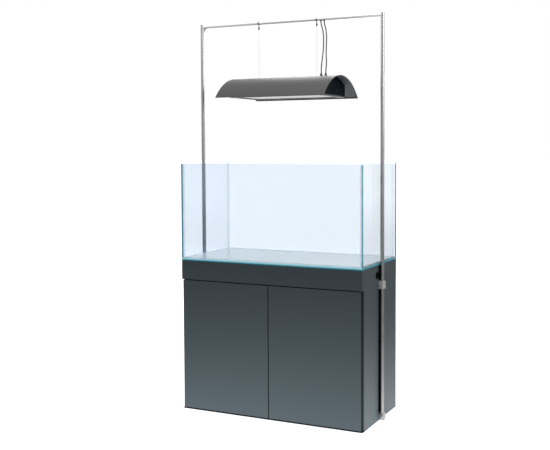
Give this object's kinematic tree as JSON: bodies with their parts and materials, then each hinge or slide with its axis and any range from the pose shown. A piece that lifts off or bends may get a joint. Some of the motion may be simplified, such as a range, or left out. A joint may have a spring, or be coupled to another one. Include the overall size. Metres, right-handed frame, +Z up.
{
  "type": "aquarium on stand",
  "caption": "Rimless glass aquarium on a two-door cabinet, with a steel tube stand that hangs an arched lamp hood over the water on thin wires.",
  "frame": {"origin": "on the floor, under the middle of the cabinet", "axes": "+Z up, +X to the right of someone facing the doors, doors on the -Y side"},
  "size_m": [0.948, 0.45, 1.82],
  "materials": {
    "lacquered_board": "satin metallic slate-grey lacquer on board, fading lighter towards the floor only by light",
    "carcass_board": "dark grey melamine, matt",
    "channel_black": "black, matt",
    "grommet_rubber": "black, matt",
    "hardware_steel": "bright zinc, satin",
    "black_steel": "black zinc, matt",
    "stand_steel": "stainless tube, brushed lengthwise",
    "nylon": "natural nylon",
    "black_plastic": "moulded, fine texture",
    "tank_glass": "float glass with polished blue-green edges",
    "silicone": "clear silicone bead, slightly milky",
    "mat_foam": "closed-cell foam, dark blue-grey",
    "hood_paint": "satin warm dark grey, fine orange peel",
    "housing_paint": "satin black",
    "frame_paint": "satin silver frame",
    "reflector_sheet": "hammered bright aluminium",
    "bulb_glass": "clear quartz",
    "tube_glass": "phosphor-coated white tube",
    "ceramic": "glazed ceramic",
    "cord_rubber": "dark grey rubber, matt",
    "wire_steel": "stranded steel rope"
  },
  "bodies": {
    "root": {"cabinet_side_left": "lacquered_board", "cabinet_side_right": "lacquered_board", "cabinet_top": "carcass_board", "cabinet_bottom": "carcass_board", "cabinet_back": "carcass_board", "fascia_panel": "lacquered_board", "door_rail": "carcass_board", "base_strips": "channel_black", "channel_liners": "channel_black", "cable_grommets": "grommet_rubber", "top_pivots": "black_steel", "bottom_pivots": "black_steel", "pivot_screws": "hardware_steel", "latch_housings": "black_plastic", "tank_mat": "mat_foam", "tank_bottom": "tank_glass", "tank_front": "tank_glass", "tank_back": "tank_glass", "tank_left": "tank_glass", "tank_right": "tank_glass", "silicone_seams": "silicone", "upright_left": "stand_steel", "upright_right": "stand_steel", "upright_caps": "stand_steel", "crossbar": "stand_steel", "corner_brace": "stand_steel", "cord_grommets": "grommet_rubber", "upper_clamp_left": "stand_steel", "upper_clamp_right": "stand_steel", "foot_block_left": "stand_steel", "foot_block_right": "stand_steel", "clamp_bolts": "hardware_steel", "stand_screws": "hardware_steel"},
    "door_left": {"door_left": "lacquered_board", "pivot_bushes_left": "nylon", "strike_plate_left": "hardware_steel"},
    "door_right": {"door_right": "lacquered_board", "pivot_bushes_right": "nylon", "strike_plate_right": "hardware_steel"},
    "latch_left": {"latch_plunger_left": "black_plastic"},
    "latch_right": {"latch_plunger_right": "black_plastic"},
    "lamp_suspension": {"wire_collars": "stand_steel", "wire_grippers": "black_plastic", "suspension_wire_left": "wire_steel", "suspension_wire_right": "wire_steel", "power_cord_inner": "cord_rubber", "power_cord_outer": "cord_rubber"},
    "lamp": {"ridge_anchors": "hood_paint", "lamp_hood": "hood_paint", "lamp_housing": "housing_paint", "cord_glands": "black_plastic", "reflector": "reflector_sheet", "glass_frame": "frame_paint", "lamp_glass": "tank_glass", "frame_screws": "hardware_steel", "discharge_bulb": "bulb_glass", "bulb_sockets": "ceramic", "twin_tube_front": "tube_glass", "twin_tube_back": "tube_glass", "tube_holders": "black_plastic"}
  },
  "joints": [
    {"name": "door_left_hinge", "type": "hinge", "parent": "root", "child": "door_left", "pos_m": [-0.437, -0.2185, 0.307], "axis": [0, 0, -1], "range_deg": [0, 100]},
    {"name": "door_right_hinge", "type": "hinge", "parent": "root", "child": "door_right", "pos_m": [0.437, -0.2185, 0.307], "axis": [0, 0, 1], "range_deg": [0, 100]},
    {"name": "latch_left_push", "type": "slide", "parent": "root", "child": "latch_left", "axis": [0, 1, 0], "range_m": [0, 0.003], "stiffness_N_per_m": 400, "springref_m": -0.002},
    {"name": "latch_right_push", "type": "slide", "parent": "root", "child": "latch_right", "axis": [0, 1, 0], "range_m": [0, 0.003], "stiffness_N_per_m": 400, "springref_m": -0.002},
    {"name": "lamp_swing", "type": "hinge", "parent": "root", "child": "lamp_suspension", "pos_m": [0, 0, 1.81], "axis": [1, 0, 0], "range_deg": [-15, 15]},
    {"name": "lamp_lift", "type": "slide", "parent": "lamp_suspension", "child": "lamp", "axis": [0, 0, 1], "range_m": [0, 0.12], "deforming": ["suspension_wire_left", "suspension_wire_right", "power_cord_inner", "power_cord_outer"]}
  ]
}
